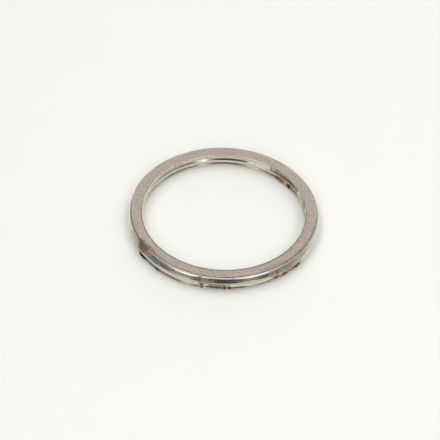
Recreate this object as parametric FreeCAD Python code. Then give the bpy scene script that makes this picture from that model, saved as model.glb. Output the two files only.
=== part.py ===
import FreeCAD, Part
import os

# Spiral-wound exhaust gasket. A corrugated stainless strip is wound edge-up into a
# ring together with a strip of soft filler. The first and last turns are plain metal,
# pressed ply on ply. The filler stands proud of the metal at both faces and is rolled
# flat over the strip's edges there.
#
# The origin is the centre of the bottom face and +Z is the axis of the ring.
# All sizes are millimetres and degrees.

# Ring
bore_diameter = 38.0
strip_start_angle = 5.0
strip_end_angle = 211.0

# Metal strip
strip_thickness = 0.25
strip_height = 3.3
inner_plain_turns = 3
outer_plain_turns = 4

# Filler
filler_thickness = 1.19
filler_turns = 1
filler_tip_angle = 55.0
face_proud = 0.10
face_inner_setback = 0.20
face_outer_setback = 0.50

# Corrugation: depths are taken down from the strip's upper edge, reaches outward
# from its straight upper edge. The lower edge flares outward again.
upper_edge_height = 0.12
upper_ridge_depth = 1.15
upper_ridge_reach = 0.60
valley_depth = 1.85
valley_reach = 0.20
lower_ridge_depth = 2.40
lower_ridge_reach = 0.30
lower_edge_height = 0.50
lower_edge_reach = 0.22


def corrugation():
    """Section line of the strip, top to bottom, as (reach, height) pairs."""
    top = face_proud + strip_height
    return [
        (0.0, top),
        (0.0, top - upper_edge_height),
        (upper_ridge_reach, top - upper_ridge_depth),
        (valley_reach, top - valley_depth),
        (lower_ridge_reach, top - lower_ridge_depth),
        (0.0, face_proud + lower_edge_height),
        (lower_edge_reach, face_proud),
    ]


def half_turns():
    """Number of half turns of the strip. The last one is cut off short."""
    return 2 * (inner_plain_turns + filler_turns - 1 + outer_plain_turns) - 1


def crossings():
    """Radius of the strip's inner side each time the winding crosses the start plane.

    There are two crossings a turn. Between two of them the strip follows one arc,
    centred off the axis by half of what the radius grows, so all arcs join smoothly.
    """
    radii = [bore_diameter / 2, (bore_diameter + strip_thickness) / 2]
    for index in range(half_turns() - 1):
        radii.append(radii[index] + strip_thickness + gap(index))
    return radii


def gap(index):
    """Room for filler between a ply and the next one out, at a crossing."""
    first = 2 * inner_plain_turns - 2
    return filler_thickness if first <= index < first + 2 * filler_turns else 0.0


def last_sweep():
    """Angle of the last, cut-off half turn."""
    return (strip_start_angle - strip_end_angle) % 180.0


def band(side, starts, ends, first_angle, last_angle):
    """Corrugated band in one half turn, between an inner and an outer arc.

    side is 0 for the half turn that begins at +X and 1 for the one that begins at -X.
    starts and ends are the band's inner and outer radius where the half turn begins
    and where it ends.
    """
    outer = core(side, starts[1], ends[1], first_angle, last_angle)
    return outer.cut(core(side, starts[0], ends[0], 0.0, 360.0))


def core(side, start_radius, end_radius, first_angle, last_angle):
    """Solid inside the corrugated surface of one half turn, clockwise from its start."""
    radius = (start_radius + end_radius) / 2
    sign = 1 if side == 0 else -1
    centre = FreeCAD.Vector(sign * (start_radius - end_radius) / 2, 0, 0)
    line = [centre + FreeCAD.Vector(sign * (radius + r), 0, z) for r, z in corrugation()]
    axis_ends = [FreeCAD.Vector(centre.x, 0, p.z) for p in (line[-1], line[0])]
    face = Part.Face(Part.makePolygon(line + axis_ends + line[:1]))
    up = FreeCAD.Vector(0, 0, 1)
    face.rotate(centre, up, -first_angle)
    return face.revolve(centre, up, first_angle - last_angle)


def winding_strip():
    radii = crossings()
    plies = []
    for index in range(half_turns()):
        starts, ends = [(r, r + strip_thickness) for r in radii[index:index + 2]]
        last_angle = last_sweep() if index == half_turns() - 1 else 180.0
        plies.append(band(index % 2, starts, ends, 0.0, last_angle))
    return plies[0].multiFuse(plies[1:] + pinches()).removeSplitter()


def pinches():
    """Metal where two plies stay closed on each other, short of the filler's two tips."""
    radii = crossings()
    opening = 2 * inner_plain_turns - 3
    closing = opening + 2 * filler_turns
    starts, ends = [
        [(radii[k], radii[k + 2] + strip_thickness) for k in (index, index + 1)]
        for index in (opening, closing)
    ]
    return [
        band(opening % 2, *starts, 0.0, filler_tip_angle),
        band(closing % 2, *ends, 180.0 - filler_tip_angle, 180.0),
    ]


def filler_strip():
    radii = crossings()
    layers = [rolled_face(0.0), rolled_face(face_proud + strip_height)]
    for index in range(half_turns() - 2):
        if gap(index) or gap(index + 1):
            starts, ends = [
                (radii[k] + strip_thickness, radii[k + 2]) for k in (index, index + 1)
            ]
            first_angle = 0.0 if gap(index) else filler_tip_angle
            last_angle = 180.0 if gap(index + 1) else 180.0 - filler_tip_angle
            layers.append(band(index % 2, starts, ends, first_angle, last_angle))
    return layers[0].multiFuse(layers[1:]).removeSplitter()


def rolled_face(height):
    """Flat ring of filler that is rolled out over the strip's edges."""
    inner = bore_diameter / 2 + face_inner_setback
    outer = crossings()[-1] + strip_thickness - face_outer_setback
    base = FreeCAD.Vector(0, 0, height)
    disc = Part.makeCylinder(outer, face_proud, base)
    return disc.cut(Part.makeCylinder(inner, face_proud, base))


def export(shape, name):
    shape.rotate(FreeCAD.Vector(0, 0, 0), FreeCAD.Vector(0, 0, 1), strip_start_angle)
    shape.exportStep(os.path.join("parts", name + ".step"))


os.makedirs("parts", exist_ok=True)
export(winding_strip(), "winding_strip")
export(filler_strip(), "filler_strip")
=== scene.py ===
import bpy
import math
from mathutils import Matrix, Vector, noise


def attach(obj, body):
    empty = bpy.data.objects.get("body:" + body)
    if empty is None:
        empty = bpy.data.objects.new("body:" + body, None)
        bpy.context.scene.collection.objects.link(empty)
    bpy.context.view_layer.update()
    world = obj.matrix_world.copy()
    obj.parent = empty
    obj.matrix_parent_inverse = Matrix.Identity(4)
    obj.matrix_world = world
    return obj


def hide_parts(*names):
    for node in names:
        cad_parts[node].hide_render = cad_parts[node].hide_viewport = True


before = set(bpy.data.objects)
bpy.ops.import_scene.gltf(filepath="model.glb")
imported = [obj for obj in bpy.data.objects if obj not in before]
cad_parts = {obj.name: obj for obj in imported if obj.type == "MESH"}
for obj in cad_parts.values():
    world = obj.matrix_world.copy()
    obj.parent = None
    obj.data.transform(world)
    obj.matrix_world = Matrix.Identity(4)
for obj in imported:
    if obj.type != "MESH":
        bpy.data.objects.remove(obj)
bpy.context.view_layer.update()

# Spiral-wound exhaust gasket lying flat on a pale studio table.
# Sizes are millimetres and degrees. Azimuths are seen from above: 0 is to the right and
# 270 towards the camera.
MM = 0.001

# Metal strip, wound clockwise outward from its start, and the filler between its plies
BORE_RADIUS = 19.0
RIM_RADIUS = 22.05
STRIP_START = 5.0
STRIP_END = 211.0
STRIP_THICKNESS = 0.25
INNER_PLAIN_TURNS = 3
OUTER_PLAIN_TURNS = 4
FILLER_THICKNESS = 1.19
FILLER_TURNS = 1
FILLER_TIP = 55.0

HALF_TURNS = 2 * (INNER_PLAIN_TURNS + FILLER_TURNS - 1 + OUTER_PLAIN_TURNS) - 1
SWEEP = 180.0 * (HALF_TURNS - 1) + (STRIP_START - STRIP_END) % 180.0

# Section lines of the strip from its top edge down, as (reach, height): as wound, the open
# side of the first turn and the open side of the last turn
CORRUGATION = [
    (0.00, 3.40),
    (0.00, 3.28),
    (0.60, 2.25),
    (0.20, 1.55),
    (0.30, 1.00),
    (0.00, 0.60),
    (0.22, 0.10),
]
BORE_SIDE = [
    (0.00, 3.40),
    (0.00, 3.28),
    (0.56, 2.14),
    (0.25, 1.56),
    (0.33, 0.96),
    (0.02, 0.56),
    (0.02, 0.05),
]
RIM_SIDE = [
    (-0.14, 3.40),
    (0.04, 3.22),
    (0.62, 2.38),
    (0.20, 1.60),
    (0.28, 1.08),
    (0.00, 0.74),
    (0.24, 0.38),
    (0.27, 0.10),
]
STRIP_TOP = CORRUGATION[0][1]
INSIDE, EDGE, OUTSIDE = -1, 0, 1

# Bends of the strip. A bend takes at most this share of the straight run beside it.
BEND_RADIUS = 0.24
LONGEST_BEND = 0.48

# Cut edges of the strip: the rounding, where its outer corner has points, in radians, and
# how far in its inner corner has one, as a share of the rounding
EDGE_ROUNDING = 0.06
EDGE_TURNS = (0.0, 0.5, 1.1, math.pi / 2)
EDGE_CORNER = 0.3

# Fineness of the meshes across the strip and along it, where a ply shows and where not
OPEN_BEND_STEPS = 4
OPEN_SPACING = 0.13
OPEN_STEP = 0.45
HIDDEN_BEND_STEPS = 2
HIDDEN_STEP = 1.0
WEB_STEP = 2.0
SMOOTHED_ANGLE = 50.0

# The first and the last turn are fine ribbons that go on a little under their neighbours.
# A hair of air between plies and between ribbons keeps each mesh closed.
OVERLAP = 8.0
PLY_GAP = 0.004
RIBBON_GAP = 0.05

# Rolled faces. On the far side they spread further out and are drawn back from the bore.
FACE_TOP = 3.5
FACE_PROUD = 0.10
FACE_INNER_RADIUS = 19.20
FACE_OUTER_RADIUS = 21.58
FACE_SPREAD = 0.28
FACE_DRAW = 0.08
FACE_COUNT = 900
FACE_WIDTH_STEPS = 30
FACE_DEPTH = 0.014
BORDER_ROUNDING = 0.06
BORDER_INSET = 0.04
BORDER_LEAN = 0.01
BORDER_WIDTH = 0.15
BORDER_DROP = 0.02
# Painted shade at the outer border of each face, as a share taken off its colour
BORDER_PAINTED_SHADE = 0.62

# Unevenness of the faces, as (waves, waves a mm outward, depth), and of their borders, as
# (waves, depth, shift)
FACE_NOISE = (12.0, 2.2, 0.012)
INNER_BORDER_NOISE = [(9.0, 0.05, 4.0), (55.0, 0.02, 7.0)]
OUTER_BORDER_NOISE = [(6.0, 0.05, 0.0), (40.0, 0.03, 0.0)]

# Base colours
STEEL = (0.84, 0.785, 0.715)
FILLER = (0.420, 0.358, 0.308)

# Heat colours
STRAW = (0.62, 0.50, 0.33)
TAN = (0.40, 0.30, 0.18)
ORANGE = (0.36, 0.19, 0.08)
BROWN = (0.20, 0.135, 0.105)
RED_BROWN = (0.20, 0.055, 0.045)
OLIVE = (0.24, 0.20, 0.12)
CHAR = (0.055, 0.035, 0.022)
BLUE = (0.19, 0.215, 0.33)
SLATE = (0.27, 0.29, 0.31)
RUST = (0.13, 0.075, 0.045)
PINK = (0.70, 0.47, 0.40)
DULL = (0.38, 0.34, 0.29)

# Stains on the wall and painted shade along its foot, its top edge and one side, as (azimuth, half
# angle, height, half height, colour, strength)
OUTER_STAINS_AND_SHADE = [
    (214.0, 5.0, 3.05, 1.10, BROWN, 0.90),
    (212.0, 3.0, 1.60, 0.90, BROWN, 0.60),
    (220.5, 3.5, 2.70, 0.80, OLIVE, 0.50),
    (227.0, 4.2, 2.72, 0.62, BLUE, 0.90),
    (226.0, 4.0, 1.90, 0.35, SLATE, 0.55),
    (242.0, 3.0, 2.60, 0.45, OLIVE, 0.30),
    # Painted contact shade: dark line along the foot, from 210 to 245
    (219.0, 9.0, 0.50, 0.34, OLIVE, 0.90),
    (237.0, 8.0, 0.50, 0.28, OLIVE, 0.85),
    (214.0, 3.2, 0.40, 0.45, CHAR, 1.00),
    (217.5, 1.4, 0.50, 0.28, CHAR, 0.80),
    (228.5, 2.0, 0.50, 0.42, CHAR, 0.85),
    (219.5, 4.0, 1.15, 0.35, STRAW, 0.55),
    # Painted contact shade along the foot
    (250.0, 10.0, 0.42, 0.10, CHAR, 0.30),
    (257.2, 0.7, 2.85, 0.60, RUST, 0.85),
    (258.8, 1.8, 2.20, 0.90, ORANGE, 0.50),
    (261.0, 1.6, 2.50, 0.70, TAN, 0.45),
    (257.0, 1.0, 1.60, 0.55, STRAW, 0.80),
    (258.7, 0.9, 0.80, 0.65, RED_BROWN, 0.95),
    (266.8, 6.0, 1.56, 0.55, TAN, 0.95),
    (264.0, 2.4, 2.55, 0.45, RUST, 0.22),
    # Painted contact shade along the foot, across the weld zone
    (267.0, 6.0, 0.76, 0.24, CHAR, 0.90),
    (272.2, 0.7, 0.88, 0.62, RED_BROWN, 1.00),
    (274.9, 0.8, 0.82, 0.58, RED_BROWN, 1.00),
    # Painted contact shade along the foot, from 275 to 299
    (279.5, 5.0, 0.70, 0.22, CHAR, 0.75),
    (291.5, 7.5, 0.56, 0.12, CHAR, 0.35),
    (300.8, 2.0, 2.85, 0.50, OLIVE, 0.55),
    (304.6, 1.1, 2.70, 0.65, RUST, 0.75),
    (308.4, 2.8, 2.60, 0.70, TAN, 0.72),
    (313.5, 2.6, 2.60, 0.60, BROWN, 0.55),
    (303.2, 3.0, 1.80, 0.50, STRAW, 0.90),
    (304.4, 2.4, 1.15, 0.50, ORANGE, 0.85),
    (304.8, 1.6, 0.92, 0.30, CHAR, 0.90),
    (308.2, 1.8, 0.70, 0.45, TAN, 0.85),
    (311.0, 2.2, 0.90, 0.48, RED_BROWN, 1.00),
    (315.5, 4.0, 0.75, 0.28, OLIVE, 1.00),
    (320.8, 3.4, 0.80, 0.55, RUST, 1.00),
    (321.0, 1.8, 0.75, 0.30, CHAR, 0.80),
    (313.0, 6.0, 1.75, 0.50, OLIVE, 0.50),
    (319.0, 8.0, 2.10, 0.80, TAN, 0.35),
    (223.0, 14.0, 3.32, 0.16, BROWN, 0.70),
    (315.0, 15.0, 3.32, 0.14, DULL, 0.75),
    # Painted shade: the whole wall darker here, standing in for a dimmer reflection
    (203.0, 6.0, 2.00, 1.60, TAN, 0.30),
]
INNER_STAINS_AND_SHADE = [
    (42.0, 14.5, 1.85, 0.28, RUST, 0.90),
    (41.5, 3.5, 2.40, 0.30, SLATE, 0.60),
    (53.5, 5.5, 0.76, 0.22, RUST, 0.80),
    (33.0, 4.0, 0.76, 0.22, OLIVE, 0.85),
    (47.0, 3.2, 0.80, 0.58, ORANGE, 0.95),
    (50.0, 1.8, 0.76, 0.26, CHAR, 0.60),
    (38.6, 2.2, 0.80, 0.48, CHAR, 1.00),
    (41.9, 1.8, 0.85, 0.76, PINK, 0.85),
    (45.0, 10.0, 1.30, 0.22, TAN, 0.40),
    (20.0, 3.4, 2.40, 1.10, PINK, 0.85),
    (14.5, 3.0, 2.00, 1.30, SLATE, 0.80),
    (8.0, 3.0, 1.60, 1.20, TAN, 0.60),
    (-4.0, 12.0, 3.20, 0.45, PINK, 0.75),
    # Painted shade: dark line along the top edge on the near side, under the face's border
    (265.0, 85.0, 3.40, 0.10, OLIVE, 0.85),
    (132.0, 14.0, 1.85, 0.22, OLIVE, 0.45),
]
# Stains on the rolled face and painted shade along its borders, as (azimuth, half angle, radius,
# half width, colour, strength)
FACE_STAINS_AND_SHADE = [
    (216.0, 10.0, 21.55, 0.70, (0.17, 0.12, 0.09), 0.85),
    (229.0, 7.0, 21.60, 0.40, (0.20, 0.16, 0.13), 0.75),
    (304.0, 9.0, 21.50, 0.80, (0.27, 0.22, 0.16), 0.65),
    (318.0, 8.0, 21.60, 0.40, (0.22, 0.16, 0.13), 0.55),
    (258.5, 2.5, 21.60, 0.30, (0.25, 0.17, 0.11), 0.55),
    (273.0, 3.5, 21.60, 0.28, (0.24, 0.16, 0.13), 0.45),
    (236.0, 7.0, 20.40, 0.80, (0.44, 0.38, 0.29), 0.45),
    # Painted shade: dark line along the inner border on the near side
    (270.0, 88.0, 19.24, 0.24, (0.10, 0.09, 0.08), 0.90),
    # Painted shade: brown line along the outer border on the near side
    (270.0, 70.0, 21.56, 0.14, (0.18, 0.13, 0.10), 0.60),
    # Painted shade: dark lines along the outer border at the sides and on the far side
    (335.0, 16.0, 21.64, 0.20, (0.22, 0.17, 0.13), 0.70),
    (193.0, 13.0, 21.74, 0.20, (0.16, 0.12, 0.09), 0.85),
    (140.0, 30.0, 21.86, 0.10, (0.20, 0.17, 0.15), 0.55),
]

# Each stain and each patch of painted shade is a rounded rectangle that fades out over a ragged
# border. Its sizes are shares of its half width and height, and its noise is (waves a degree, waves
# a mm, depth).
STAIN_SQUARENESS = 2.8
STAIN_BORDER = 1.3
STAIN_FADE = 0.6
STAIN_REACH = 1.9
STAIN_NOISE = [(0.8, 2.0, 0.7), (3.0, 6.0, 0.3)]

# Weld beads, as (azimuth, height, radius, rise). Their border and fade are shares of the
# radius, and their noise is (waves a degree, waves a mm, depth).
OUTER_BEADS = [
    (213.6, 0.35, 0.55, 0.15),
    (216.2, 0.30, 0.40, 0.10),
    (228.2, 0.30, 0.45, 0.13),
    (258.6, 0.50, 0.34, 0.10),
    (272.4, 0.55, 0.30, 0.09),
    (274.8, 0.50, 0.32, 0.09),
    (304.8, 0.70, 0.42, 0.10),
    (308.0, 0.40, 0.42, 0.12),
    (311.2, 0.75, 0.38, 0.10),
    (320.8, 0.60, 0.55, 0.12),
]
INNER_BEADS = [
    (41.9, 0.62, 0.62, 0.14),
    (47.0, 0.85, 0.40, 0.06),
    (38.6, 0.85, 0.35, 0.06),
]
BEAD_BORDER = 1.2
BEAD_FADE = 0.9
BEAD_NOISE = (2.0, 5.0, 0.8)

# Small waves of the wall, as (waves, waves a mm upward, depth), and of the strip's upper
# edge, as (waves, depth). The band below the edge follows it, and so do its nicks.
WALL_NOISE = (9.0, 0.35, 0.012)
EDGE_NOISE = (30.0, 0.012)
EDGE_BAND = 0.3
EDGE_NICKS = [96.0, 104.5, 119.0, 124.5, 128.5, 133.0]
NICK_HALF_ANGLE = 0.9
NICK_DEPTH = 0.16

# Foot of the last turn, melted or pushed up, as (azimuth, half angle, rise). What is
# higher than LIFT_TOP stays where it is. The noise is (waves a degree, middle, depth).
LIFTS = [(266.0, 7.0, 0.26), (296.0, 32.0, 0.16)]
LIFT_TOP = 1.50
LIFT_FADE = 3.0
LIFT_NOISE = (0.7, 0.8, 0.6)

# The last turn stands a little proud where it bulges, as (azimuth, half angle, reach). It
# fades over a share of the half angle.
BULGE = (243.0, 20.0, 0.11)
BULGE_FADE = 0.6

# Pad that is pressed flat inside, as (azimuth, half angle, fade). What stands out further
# than PAD_OFFSET loses a share of that, above its foot.
PAD = (63.0, 7.5, 4.0)
PAD_OFFSET = 0.12
PAD_PRESSED = 0.75
PAD_FOOT = 0.9
PAD_FOOT_FADE = 0.5

# Keeps the noise on one side of the strip apart from the noise on the other
SIDE_SHIFT = 5.0


def smooth(x):
    """Smooth step from 0 to 1."""
    x = min(max(x, 0.0), 1.0)
    return x * x * (3.0 - 2.0 * x)


def turn_between(azimuth, middle):
    """Angle from middle to azimuth, within half a turn either way."""
    return (azimuth - middle + 180.0) % 360.0 - 180.0


def near(azimuth, middle, half_angle, fade):
    """1 around the middle, falling to 0 at the half angle over the last fade degrees."""
    return smooth((half_angle - abs(turn_between(azimuth, middle))) / fade)


def unit_vector(azimuth):
    turn = math.radians(azimuth)
    return Vector((math.cos(turn), math.sin(turn), 0.0))


def crossings():
    """Radius of the strip's inner side at each crossing of the start plane."""
    first_gap = 2 * INNER_PLAIN_TURNS - 2
    radii = [BORE_RADIUS, BORE_RADIUS + STRIP_THICKNESS / 2]
    for index in range(HALF_TURNS - 1):
        has_gap = first_gap <= index < first_gap + 2 * FILLER_TURNS
        radii.append(radii[index] + STRIP_THICKNESS + (FILLER_THICKNESS if has_gap else 0.0))
    return radii


RADII = crossings()


def on_winding(wound, offset, height):
    """Point offset outward from the strip's inner side, after so many degrees of winding."""
    index = min(int(wound // 180.0), HALF_TURNS - 1)
    side = 1 if index % 2 == 0 else -1
    centre = side * (RADII[index] - RADII[index + 1]) / 2
    radius = (RADII[index] + RADII[index + 1]) / 2 + offset
    turn = math.radians(-wound)
    start = math.radians(STRIP_START)
    x = centre + radius * math.cos(turn)
    y = radius * math.sin(turn)
    return Vector((
        (x * math.cos(start) - y * math.sin(start)) * MM,
        (x * math.sin(start) + y * math.cos(start)) * MM,
        height * MM,
    ))


def rounded(line, steps):
    """The same line with its corners rounded."""
    points = [Vector(line[0])]
    for before, corner, after in zip(line, line[1:], line[2:]):
        corner = Vector(corner)
        back, on = Vector(before) - corner, Vector(after) - corner
        reach = BEND_RADIUS / math.tan(back.angle(on) / 2)
        reach = min(reach, back.length * LONGEST_BEND, on.length * LONGEST_BEND)
        start = corner + back.normalized() * reach
        end = corner + on.normalized() * reach
        for step in range(steps + 1):
            s = step / steps
            points.append(start * (1 - s) ** 2 + corner * 2 * s * (1 - s) + end * s * s)
    points.append(Vector(line[-1]))
    return points


def dense(points, spacing):
    """The same line with long runs divided."""
    out = [points[0]]
    for start, end in zip(points, points[1:]):
        count = max(1, math.ceil((end - start).length / spacing))
        out += [start.lerp(end, k / count) for k in range(1, count + 1)]
    return out


def strip_section(inside, outside, open_side):
    """Closed outline of the strip as (offset, height, side), up outside and down inside."""
    lines = {}
    for side, line in ((INSIDE, inside), (OUTSIDE, outside)):
        if side == open_side:
            lines[side] = dense(rounded(line, OPEN_BEND_STEPS), OPEN_SPACING)
        else:
            lines[side] = rounded(line, HIDDEN_BEND_STEPS)
    thickness = STRIP_THICKNESS - PLY_GAP
    in_foot, foot = inside[-1]
    out_foot = outside[-1][0] + thickness
    corner = outside[0][0] + thickness
    r = EDGE_ROUNDING
    outline = [(in_foot, foot + r, INSIDE), (in_foot + r, foot, EDGE), (out_foot - r, foot, EDGE)]
    for p in reversed(lines[OUTSIDE][1:]):
        outline.append((p.x + thickness, max(p.y, foot + r), OUTSIDE))
    for turn in EDGE_TURNS:
        across, up = r * math.cos(turn), r * math.sin(turn)
        outline.append((corner - r + across, STRIP_TOP - r + up, EDGE))
    outline += [
        (r, STRIP_TOP, EDGE),
        (r * EDGE_CORNER, STRIP_TOP - r * EDGE_CORNER, EDGE),
        (0.0, STRIP_TOP - r, EDGE),
    ]
    return outline + [(p.x, p.y, INSIDE) for p in lines[INSIDE][1:-1]]


def stained_and_shaded(azimuth, place, stains_and_shade, base):
    """Colour over the base colour from a list of stains and patches of painted shade, and how much
    of the spot they cover.
    """
    tint, burn_and_shade = Vector((1.0, 1.0, 1.0)), 0.0
    for middle, half_angle, level, half_level, colour, strength in stains_and_shade:
        along = abs(turn_between(azimuth, middle) / half_angle)
        across = abs((place - level) / half_level)
        if max(along, across) > STAIN_REACH:
            continue
        away = (along ** STAIN_SQUARENESS + across ** STAIN_SQUARENESS) ** (1 / STAIN_SQUARENESS)
        ragged = sum(
            noise.noise(Vector((azimuth * waves, place * waves_up, middle))) * depth
            for waves, waves_up, depth in STAIN_NOISE)
        amount = strength * smooth((STAIN_BORDER - away + ragged) / STAIN_FADE)
        tint = tint.lerp(Vector([c / b for c, b in zip(colour, base)]), amount)
        burn_and_shade += (1.0 - burn_and_shade) * amount
    return (*tint, burn_and_shade)


def bead(azimuth, height, radius_here, beads):
    """Outward rise of the weld beads at a place on the wall."""
    waves, waves_up, depth = BEAD_NOISE
    rise = 0.0
    for middle, level, radius, top in beads:
        across = math.radians(turn_between(azimuth, middle)) * radius_here
        away = math.hypot(across, height - level) / radius
        if away < BEAD_BORDER:
            place = Vector((azimuth * waves, height * waves_up, middle))
            lump = 1.0 + noise.noise(place) * depth
            rise += top * smooth((BEAD_BORDER - away) / BEAD_FADE) * lump
    return rise


def wavy(azimuth, offset, height, side):
    """Offset and height of a point of an open turn, with the strip's small unevenness."""
    around = unit_vector(azimuth)
    waves, waves_up, depth = WALL_NOISE
    offset += noise.noise(around * waves + Vector((0, 0, height * waves_up))) * depth
    band = (height - STRIP_TOP + EDGE_BAND) / EDGE_BAND
    if band > 0.0:
        waves, depth = EDGE_NOISE
        height += noise.noise(around * waves + Vector((0, 0, side))) * depth
        band = (height - STRIP_TOP + EDGE_BAND) / EDGE_BAND
        nick = max(near(azimuth, n, NICK_HALF_ANGLE, NICK_HALF_ANGLE) for n in EDGE_NICKS)
        height -= nick * NICK_DEPTH * smooth(band)
    return offset, height


def inner_shape(azimuth, offset, height, side):
    """Where a point of the first turn really lies, with its weld and its flattened pad."""
    offset, height = wavy(azimuth, offset, height, side)
    if side != OUTSIDE:
        pressed = PAD_PRESSED * near(azimuth, *PAD) * smooth((height - PAD_FOOT) / PAD_FOOT_FADE)
        offset -= max(offset - PAD_OFFSET, 0.0) * pressed
    if side == INSIDE:
        offset -= bead(azimuth, height, BORE_RADIUS, INNER_BEADS)
    return offset, height


def outer_shape(azimuth, offset, height, side):
    """Where a point of the last turn really lies, with its welds, bulge and melted foot."""
    offset, height = wavy(azimuth, offset, height, side)
    waves, even, depth = LIFT_NOISE
    for middle, half_angle, rise in LIFTS:
        ragged = even + noise.noise(Vector((azimuth * waves, middle, 0.0))) * depth
        lifted = near(azimuth, middle, half_angle, LIFT_FADE) * ragged * smooth(LIFT_TOP - height)
        height += rise * lifted
    middle, half_angle, reach = BULGE
    offset += near(azimuth, middle, half_angle, half_angle * BULGE_FADE) * reach
    if side == OUTSIDE:
        offset += bead(azimuth, height, RIM_RADIUS, OUTER_BEADS)
    return offset, height


def swept(spans):
    """Closed ribbons along the winding, as (verts, faces, runs, tints).

    Each span is (start, end, step, outline at an angle, shape, stains and painted shade). Without a
    shape it is hidden between other turns. runs say where each vertex lies along the winding
    and tints say its stain and painted shade.
    """
    verts, faces, runs, tints = [], [], [], []
    for start, end, step, outline_at, shape, stains_and_shade in spans:
        count = max(2, round((end - start) / step))
        base = len(verts)
        size = len(outline_at(start))
        for ring in range(count + 1):
            wound = start + (end - start) * ring / count
            azimuth = STRIP_START - wound
            around = math.radians(azimuth)
            for offset, height, side in outline_at(wound):
                if shape is not None:
                    offset, height = shape(azimuth, offset, height, side)
                verts.append(on_winding(wound, offset, height))
                along = (BORE_RADIUS * math.cos(around), BORE_RADIUS * math.sin(around))
                runs.append((*along, height + SIDE_SHIFT * side))
                tints.append(stained_and_shaded(azimuth, height, stains_and_shade, STEEL))
        for ring in range(count):
            a = base + ring * size
            for k in range(size):
                k2 = (k + 1) % size
                faces.append((a + k, a + k2, a + size + k2, a + size + k))
        faces.append(tuple(base + k for k in reversed(range(size))))
        faces.append(tuple(base + count * size + k for k in range(size)))
    return verts, faces, runs, tints


def filler_web(wound):
    """Section of the filler between two plies, following their corrugation."""
    here = on_winding(wound, 0, 0).length / MM
    reach_out = on_winding(wound + 360.0, 0, 0).length / MM - here
    inside = [(STRIP_THICKNESS + reach, height, EDGE) for reach, height in CORRUGATION]
    outside = [(reach_out + reach, height, EDGE) for reach, height in reversed(CORRUGATION)]
    return inside + outside


def uneven(around, rows):
    """Sum of the noises in a list of (waves, depth, shift), at a place round the ring."""
    return sum(
        noise.noise(around * waves + Vector((shift, 0, 0))) * depth for waves, depth, shift in rows)


def face_section(around):
    """Radii and heights across the rolled face, from the bore outward."""
    inner = FACE_INNER_RADIUS + FACE_DRAW * smooth(around.y) + uneven(around, INNER_BORDER_NOISE)
    outer = FACE_OUTER_RADIUS + FACE_SPREAD * smooth(around.y + 1.0)
    outer += uneven(around, OUTER_BORDER_NOISE)
    shoulder = FACE_PROUD - BORDER_ROUNDING
    waves, waves_out, depth = FACE_NOISE
    section = [(inner, 0.0), (inner + BORDER_LEAN, shoulder)]
    for k in range(FACE_WIDTH_STEPS + 1):
        width = outer - inner - 2 * BORDER_INSET
        radius = inner + BORDER_INSET + width * k / FACE_WIDTH_STEPS
        level = noise.noise(around * waves + Vector((0, 0, radius * waves_out))) * depth
        border = min(radius - inner, outer - radius)
        level -= BORDER_DROP * (1.0 - smooth(border / BORDER_WIDTH))
        section.append((radius, FACE_PROUD - FACE_DEPTH + level))
    return section + [(outer - BORDER_LEAN, shoulder), (outer, 0.0)]


def face_ring(top):
    """One rolled face, as (verts, faces, runs, tints). top is False for the lower face."""
    verts, faces, runs, tints = [], [], [], []
    size = 0
    for ring in range(FACE_COUNT):
        azimuth = 360.0 * ring / FACE_COUNT
        around = unit_vector(azimuth)
        section = face_section(around)
        size = len(section)
        outer = section[-1][0]
        for radius, up in section:
            height = FACE_TOP - FACE_PROUD + up if top else FACE_PROUD - up
            verts.append((radius * around.x * MM, radius * around.y * MM, height * MM))
            runs.append((BORE_RADIUS * around.x, BORE_RADIUS * around.y, radius))
            *tint, burn_and_shade = stained_and_shaded(azimuth, radius, FACE_STAINS_AND_SHADE if top else [], FILLER)
            # Painted shade, darker towards the outer border
            shade = 1.0 - BORDER_PAINTED_SHADE * (1.0 - smooth((outer - radius) / BORDER_WIDTH))
            tints.append((*[c * shade for c in tint], burn_and_shade))
    for ring in range(FACE_COUNT):
        a, b = ring * size, (ring + 1) % FACE_COUNT * size
        for k in range(size):
            k2 = (k + 1) % size
            face = (a + k, b + k, b + k2, a + k2)
            faces.append(face if top else face[::-1])
    return verts, faces, runs, tints


def placed(name, data):
    """New object in the scene."""
    made = bpy.data.objects.new(name, data)
    bpy.context.scene.collection.objects.link(made)
    return made


def piece_of(name, verts, faces, runs, tints):
    mesh = bpy.data.meshes.new(name)
    mesh.from_pydata(verts, [], faces)
    mesh.attributes.new("run", "FLOAT_VECTOR", "POINT").data.foreach_set(
        "vector", [c for run in runs for c in run])
    mesh.attributes.new("stain_and_shade", "FLOAT_COLOR", "POINT").data.foreach_set(
        "color", [c for tint in tints for c in tint])
    mesh.validate()
    mesh.shade_smooth()
    mesh.set_sharp_from_angle(angle=math.radians(SMOOTHED_ANGLE))
    return placed(name, mesh)


def metal_pieces():
    """The plies inside the filler and the plies outside it."""
    hidden = strip_section(CORRUGATION, CORRUGATION, EDGE)
    first_open = strip_section(BORE_SIDE, CORRUGATION, INSIDE)
    last_open = strip_section(CORRUGATION, RIM_SIDE, OUTSIDE)
    first_turn = 360.0 + OVERLAP
    last_turn = SWEEP - 360.0 - OVERLAP
    first_outer = 180.0 * (2 * INNER_PLAIN_TURNS - 2 + 2 * FILLER_TURNS)
    inner = piece_of("inner_turns", *swept([
        (0.0, first_turn, OPEN_STEP, lambda wound: first_open, inner_shape, INNER_STAINS_AND_SHADE),
        (first_turn + RIBBON_GAP, first_outer, HIDDEN_STEP, lambda wound: hidden, None, []),
    ]))
    outer = piece_of("outer_turns", *swept([
        (first_outer + RIBBON_GAP, last_turn - RIBBON_GAP, HIDDEN_STEP, lambda wound: hidden,
         None, []),
        (last_turn, SWEEP, OPEN_STEP, lambda wound: last_open, outer_shape, OUTER_STAINS_AND_SHADE),
    ]))
    return inner, outer


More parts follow.
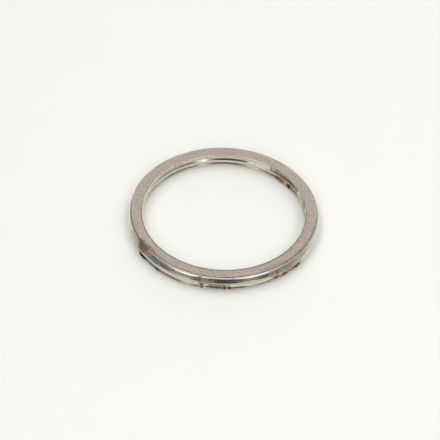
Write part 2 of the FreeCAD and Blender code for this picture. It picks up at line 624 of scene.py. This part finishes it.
def filler_piece():
    """The filler between the plies, and both rolled faces."""
    web_start = 180.0 * (2 * INNER_PLAIN_TURNS - 3) + FILLER_TIP
    web_end = 180.0 * (2 * INNER_PLAIN_TURNS - 2 + 2 * FILLER_TURNS) - FILLER_TIP
    verts, faces, runs, tints = swept([(web_start, web_end, WEB_STEP, filler_web, None, [])])
    for top in (True, False):
        more_verts, more_faces, more_runs, more_tints = face_ring(top)
        base = len(verts)
        verts += more_verts
        runs += more_runs
        tints += more_tints
        faces += [tuple(base + k for k in face) for face in more_faces]
    return piece_of("filler", verts, faces, runs, tints)


inner_turns, outer_turns = metal_pieces()
filler = filler_piece()

# Lines drawn along the winding, as (waves a mm along it, waves a mm across it, detail)
STEEL_LINES = (0.12, 7.0, 3.0)
STEEL_FINE_LINES = (0.5, 16.0, 2.0)
FILLER_LINES = (0.25, 3.0, 4.0)
LINES_ROUGHNESS = 0.6

# Mottling, as (waves a mm, detail, roughness)
SMUDGES = (0.55, 4.0, 0.65)
SPECKS = (4.0, 3.0, 0.7)
PATCHES = (0.45, 4.0, 0.6)
GRAIN = (1.7, 4.0, 0.75)
NOISE_RANGE = (0.25, 0.75)

# What these do to the steel: shares of its colour, roughness, and relief in millimetres
SMUDGED = (0.93, 0.92, 0.88)
STEEL_LINE_TONES = (0.92, 1.04)
SPECK_TONES = (0.90, 1.06)
STEEL_ROUGHNESS = (0.11, 0.22)
SMUDGE_ROUGHNESS = (-0.02, 0.08)
BURNT_ROUGHNESS = 0.28
BURNT_METAL = -0.45
STEEL_RELIEF = 0.006

# And what they do to the filler
MAUVE = (1.04, 0.94, 1.04)
BEIGE = (1.00, 1.03, 0.92)
PATCH_TONES = (1.08, 0.91)
FILLER_LINE_TONES = (0.82, 1.15)
GRAIN_TONES = (0.62, 1.38)
FILLER_ROUGHNESS = (0.66, 0.82)
FILLER_RELIEF = 0.020


def material(name):
    made = bpy.data.materials.new(name)
    made.use_nodes = True
    return made, made.node_tree, made.node_tree.nodes["Principled BSDF"]


def add(tree, kind, inputs, **settings):
    """New node with its settings, and its inputs linked or set. Returns its first output."""
    node = tree.nodes.new(kind)
    for key, value in settings.items():
        setattr(node, key, value)
    for key, value in inputs.items():
        if isinstance(value, bpy.types.NodeSocket):
            tree.links.new(value, node.inputs[key])
        else:
            node.inputs[key].default_value = value
    return next(out for out in node.outputs if out.enabled)


def attribute(tree, name):
    node = tree.nodes.new("ShaderNodeAttribute")
    node.attribute_name = name
    return node.outputs


def scaled(tree, vector, factors):
    return add(tree, "ShaderNodeVectorMath", {0: vector, 1: factors}, operation="MULTIPLY")


def in_millimetres(tree):
    """Place on the object in millimetres."""
    return scaled(tree, tree.nodes.new("ShaderNodeTexCoord").outputs["Object"], (1 / MM,) * 3)


def mottled(tree, vector, scale, detail, roughness):
    return add(tree, "ShaderNodeTexNoise", {
        "Vector": vector, "Scale": scale, "Detail": detail, "Roughness": roughness})


def drawn_lines(tree, run, along, across, detail):
    """Noise drawn out along the winding."""
    return mottled(tree, scaled(tree, run, (along, along, across)), 1.0, detail, LINES_ROUGHNESS)


def spread(tree, value, low, high):
    """Noise brought to the range from low to high."""
    least, most = NOISE_RANGE
    return add(tree, "ShaderNodeMapRange", {
        "Value": value, "From Min": least, "From Max": most, "To Min": low, "To Max": high})


def computed(tree, operation, *values):
    return add(tree, "ShaderNodeMath", dict(enumerate(values)), operation=operation)


def times(tree, a, b):
    return add(tree, "ShaderNodeMix", {0: 1.0, 6: a, 7: b}, data_type="RGBA", blend_type="MULTIPLY")


def between(tree, factor, a, b):
    """Mix of two colours."""
    return add(tree, "ShaderNodeMix", {0: factor, 6: (*a, 1.0), 7: (*b, 1.0)}, data_type="RGBA")


def toned(tree, colour, value, tones):
    """Colour made darker and lighter by a noise."""
    grey = spread(tree, value, *tones)
    return times(tree, colour, add(tree, "ShaderNodeCombineColor", {0: grey, 1: grey, 2: grey}))


def shifted(colour, factors):
    return [c * f for c, f in zip(colour, factors)]


def bumped(tree, bsdf, height, relief):
    bump = add(tree, "ShaderNodeBump", {"Strength": 1.0, "Distance": relief * MM, "Height": height})
    tree.links.new(bump, bsdf.inputs["Normal"])


def steel_material():
    """Bright rolled steel with drawn lines, smudges, the heat stains and the painted shade along
    its foot and top edge.
    """
    made, tree, bsdf = material("rolled_steel")
    run = attribute(tree, "run")["Vector"]
    stain_and_shade = attribute(tree, "stain_and_shade")
    burn_and_shade = stain_and_shade["Alpha"]
    place = in_millimetres(tree)
    lines = drawn_lines(tree, run, *STEEL_LINES)
    fine = drawn_lines(tree, run, *STEEL_FINE_LINES)
    smudge = mottled(tree, place, *SMUDGES)
    speck = mottled(tree, place, *SPECKS)

    tone = between(tree, smudge, STEEL, shifted(STEEL, SMUDGED))
    tone = toned(tree, tone, lines, STEEL_LINE_TONES)
    tone = toned(tree, tone, speck, SPECK_TONES)
    tree.links.new(times(tree, tone, stain_and_shade["Color"]), bsdf.inputs["Base Color"])

    rough = spread(tree, fine, *STEEL_ROUGHNESS)
    rough = computed(tree, "ADD", rough, spread(tree, smudge, *SMUDGE_ROUGHNESS))
    rough = computed(tree, "MULTIPLY_ADD", burn_and_shade, BURNT_ROUGHNESS, rough)
    tree.links.new(rough, bsdf.inputs["Roughness"])
    metal = computed(tree, "MULTIPLY_ADD", burn_and_shade, BURNT_METAL, 1.0)
    tree.links.new(metal, bsdf.inputs["Metallic"])

    height = computed(tree, "ADD", lines, fine)
    bumped(tree, bsdf, computed(tree, "MULTIPLY_ADD", speck, burn_and_shade, height), STEEL_RELIEF)
    return made


def filler_material():
    """Matt mineral filler with grain, drawn lines, patches of two tints, its stains and the painted
    shade along its borders.
    """
    made, tree, bsdf = material("mineral_filler")
    run = attribute(tree, "run")["Vector"]
    stain_and_shade = attribute(tree, "stain_and_shade")
    place = in_millimetres(tree)
    lines = drawn_lines(tree, run, *FILLER_LINES)
    patches = mottled(tree, place, *PATCHES)
    grain = mottled(tree, place, *GRAIN)

    mauve, beige = shifted(FILLER, MAUVE), shifted(FILLER, BEIGE)
    tone = between(tree, spread(tree, patches, 0.0, 1.0), mauve, beige)
    tone = toned(tree, tone, patches, PATCH_TONES)
    tone = toned(tree, tone, lines, FILLER_LINE_TONES)
    tone = toned(tree, tone, grain, GRAIN_TONES)
    tree.links.new(times(tree, tone, stain_and_shade["Color"]), bsdf.inputs["Base Color"])

    tree.links.new(spread(tree, grain, *FILLER_ROUGHNESS), bsdf.inputs["Roughness"])
    bumped(tree, bsdf, computed(tree, "ADD", grain, lines), FILLER_RELIEF)
    return made


steel = steel_material()
inner_turns.data.materials.append(steel)
outer_turns.data.materials.append(steel)
filler.data.materials.append(filler_material())

for piece, node, slot_name in (
    (inner_turns, "winding_strip", "stainless_strip"),
    (outer_turns, "winding_strip", "stainless_strip"),
    (filler, "filler_strip", "soft_filler"),
):
    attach(piece, "root")
    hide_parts(node)

# Studio, in metres from here on
FLOOR_REACH = 3.0
FLOOR_COLOUR = (0.905, 0.915, 0.868)
FLOOR_ROUGHNESS = 0.6
FLOOR_SPECULAR = 0.2

# Grey studio flags and small bright panels before them that the metal mirrors, as
# (name, distance, bearings, elevations, brightness)
SCREENS = [
    ("flag_middle", 1.2, (-24, 24), (0, 28), 0.05),
    ("flag_above", 1.2, (-26, 26), (28, 75), 0.16),
    ("flag_near_left", 1.2, (-52, -24), (0, 32), 0.16),
    ("flag_left", 1.2, (-100, -52), (0, 58), 0.13),
    ("flag_far_left", 1.2, (-160, -100), (0, 45), 0.32),
    ("flag_near_right", 1.2, (24, 56), (0, 34), 0.10),
    ("flag_right", 1.2, (56, 80), (0, 40), 0.18),
    ("flag_far_right", 1.2, (80, 150), (0, 40), 0.45),
    ("panel_left", 1.1, (-46, -28), (8, 14), 2.0),
    ("panel_right", 1.1, (21, 36), (8, 15), 2.6),
]
SCREEN_COLOUR = (1.0, 0.96, 0.90, 1.0)
SCREEN_STEPS = 8

# World: brightness of the sky and of the horizon, and a soft glow from the left. The fades
# are sines of the elevation, and cosines of the angle to the glow's middle.
SKY = 1.27
HORIZON = 1.28
HORIZON_FADE = (0.21, 0.50)
KEY_BEARING, KEY_ELEVATION = -115, 55
KEY_STRENGTH = 0.7
KEY_FADE = (0.80, 1.0)

# Lamps, as (name, bearing, elevation, distance, width, height, power in watts, mirrored)
SOFTBOXES = [
    ("left_softbox", -41, 41, 0.8, 0.34, 0.20, 0.36, True),
    ("right_softbox", 38, 41, 0.8, 0.30, 0.20, 0.30, True),
    ("front_fill", 0, 32, 0.9, 0.70, 0.30, 1.9, False),
]


def direction(bearing, elevation):
    """Unit vector. The bearing is 0 towards the camera and grows to the right."""
    a, e = math.radians(bearing), math.radians(elevation)
    return Vector((math.sin(a) * math.cos(e), -math.cos(a) * math.cos(e), math.sin(e)))


def floor_piece():
    r = FLOOR_REACH
    mesh = bpy.data.meshes.new("floor")
    mesh.from_pydata([(-r, -r, 0), (r, -r, 0), (r, r, 0), (-r, r, 0)], [], [(0, 1, 2, 3)])
    made, _, bsdf = material("table")
    bsdf.inputs["Base Color"].default_value = (*FLOOR_COLOUR, 1.0)
    bsdf.inputs["Roughness"].default_value = FLOOR_ROUGHNESS
    bsdf.inputs["Specular IOR Level"].default_value = FLOOR_SPECULAR
    mesh.materials.append(made)
    placed("floor", mesh)


def screen(name, distance, bearings, elevations, brightness):
    """Curved glowing sheet round the object, unseen by the camera."""
    verts = []
    for elevation in elevations:
        for k in range(SCREEN_STEPS + 1):
            bearing = bearings[0] + (bearings[1] - bearings[0]) * k / SCREEN_STEPS
            verts.append(direction(bearing, elevation) * distance)
    row = SCREEN_STEPS + 1
    mesh = bpy.data.meshes.new(name)
    mesh.from_pydata(verts, [], [(k, k + 1, k + row + 1, k + row) for k in range(SCREEN_STEPS)])
    made, tree, _ = material(name)
    glow = add(tree, "ShaderNodeEmission", {"Color": SCREEN_COLOUR, "Strength": brightness})
    tree.links.new(glow, tree.nodes["Material Output"].inputs["Surface"])
    mesh.materials.append(made)
    shell = placed(name, mesh)
    shell.visible_camera = False


def faded(tree, value, fade, low, high):
    """Value brought from low to high over a range, smoothly."""
    return add(tree, "ShaderNodeMapRange", {
        "Value": value, "From Min": fade[0], "From Max": fade[1], "To Min": low, "To Max": high},
        interpolation_type="SMOOTHSTEP")


def sky():
    """Even sky with a white horizon and a wide soft glow from the left."""
    world = bpy.data.worlds.new("studio")
    bpy.context.scene.world = world
    world.use_nodes = True
    tree = world.node_tree
    ray = tree.nodes.new("ShaderNodeTexCoord").outputs["Generated"]
    split = tree.nodes.new("ShaderNodeSeparateXYZ")
    tree.links.new(ray, split.inputs[0])
    above = faded(tree, split.outputs["Z"], HORIZON_FADE, HORIZON, SKY)
    toward = add(tree, "ShaderNodeVectorMath", {
        0: ray, 1: direction(KEY_BEARING, KEY_ELEVATION)}, operation="DOT_PRODUCT")
    glow = faded(tree, toward, KEY_FADE, 0.0, KEY_STRENGTH)
    background = tree.nodes["Background"]
    tree.links.new(computed(tree, "ADD", above, glow), background.inputs["Strength"])
    background.inputs["Color"].default_value = (1, 1, 1, 1)


def softbox(name, bearing, elevation, distance, width, height, power, mirrored):
    """Rectangular lamp turned to the object, seen in the metal or not."""
    light = bpy.data.lights.new(name, "AREA")
    light.shape = "RECTANGLE"
    light.size = width
    light.size_y = height
    light.energy = power
    lamp = placed(name, light)
    place = direction(bearing, elevation)
    lamp.location = place * distance
    lamp.rotation_euler = (-place).to_track_quat("-Z", "Y").to_euler()
    lamp.visible_glossy = mirrored


floor_piece()
for values in SCREENS:
    screen(*values)
sky()
for values in SOFTBOXES:
    softbox(*values)

# Camera. Its distance and the point it aims at are in millimetres.
IMAGE_WIDTH_PX = 440
FOCAL_PX = 1908.4
CAMERA_ELEVATION = 44.47
CAMERA_ROLL = 2.16
CAMERA_DISTANCE = 443.5
CAMERA_CLIP_M = 0.01
AIM = (-0.82, -2.94, 3.31)


def camera_piece():
    elevation, roll = math.radians(CAMERA_ELEVATION), math.radians(CAMERA_ROLL)
    ahead = Vector((0, math.cos(elevation), -math.sin(elevation)))
    level = Vector((1, 0, 0))
    upright = level.cross(ahead)
    right = level * math.cos(roll) + upright * math.sin(roll)
    up = upright * math.cos(roll) - level * math.sin(roll)
    lens = bpy.data.cameras.new("camera")
    lens.lens = FOCAL_PX / IMAGE_WIDTH_PX * lens.sensor_width
    lens.clip_start = CAMERA_CLIP_M
    camera = placed("camera", lens)
    pose = Matrix((right, up, -ahead)).transposed().to_4x4()
    pose.translation = (Vector(AIM) - ahead * CAMERA_DISTANCE) * MM
    camera.matrix_world = pose
    bpy.context.scene.camera = camera


camera_piece()
bpy.context.scene.view_settings.view_transform = "Standard"

bpy.context.view_layer.update()
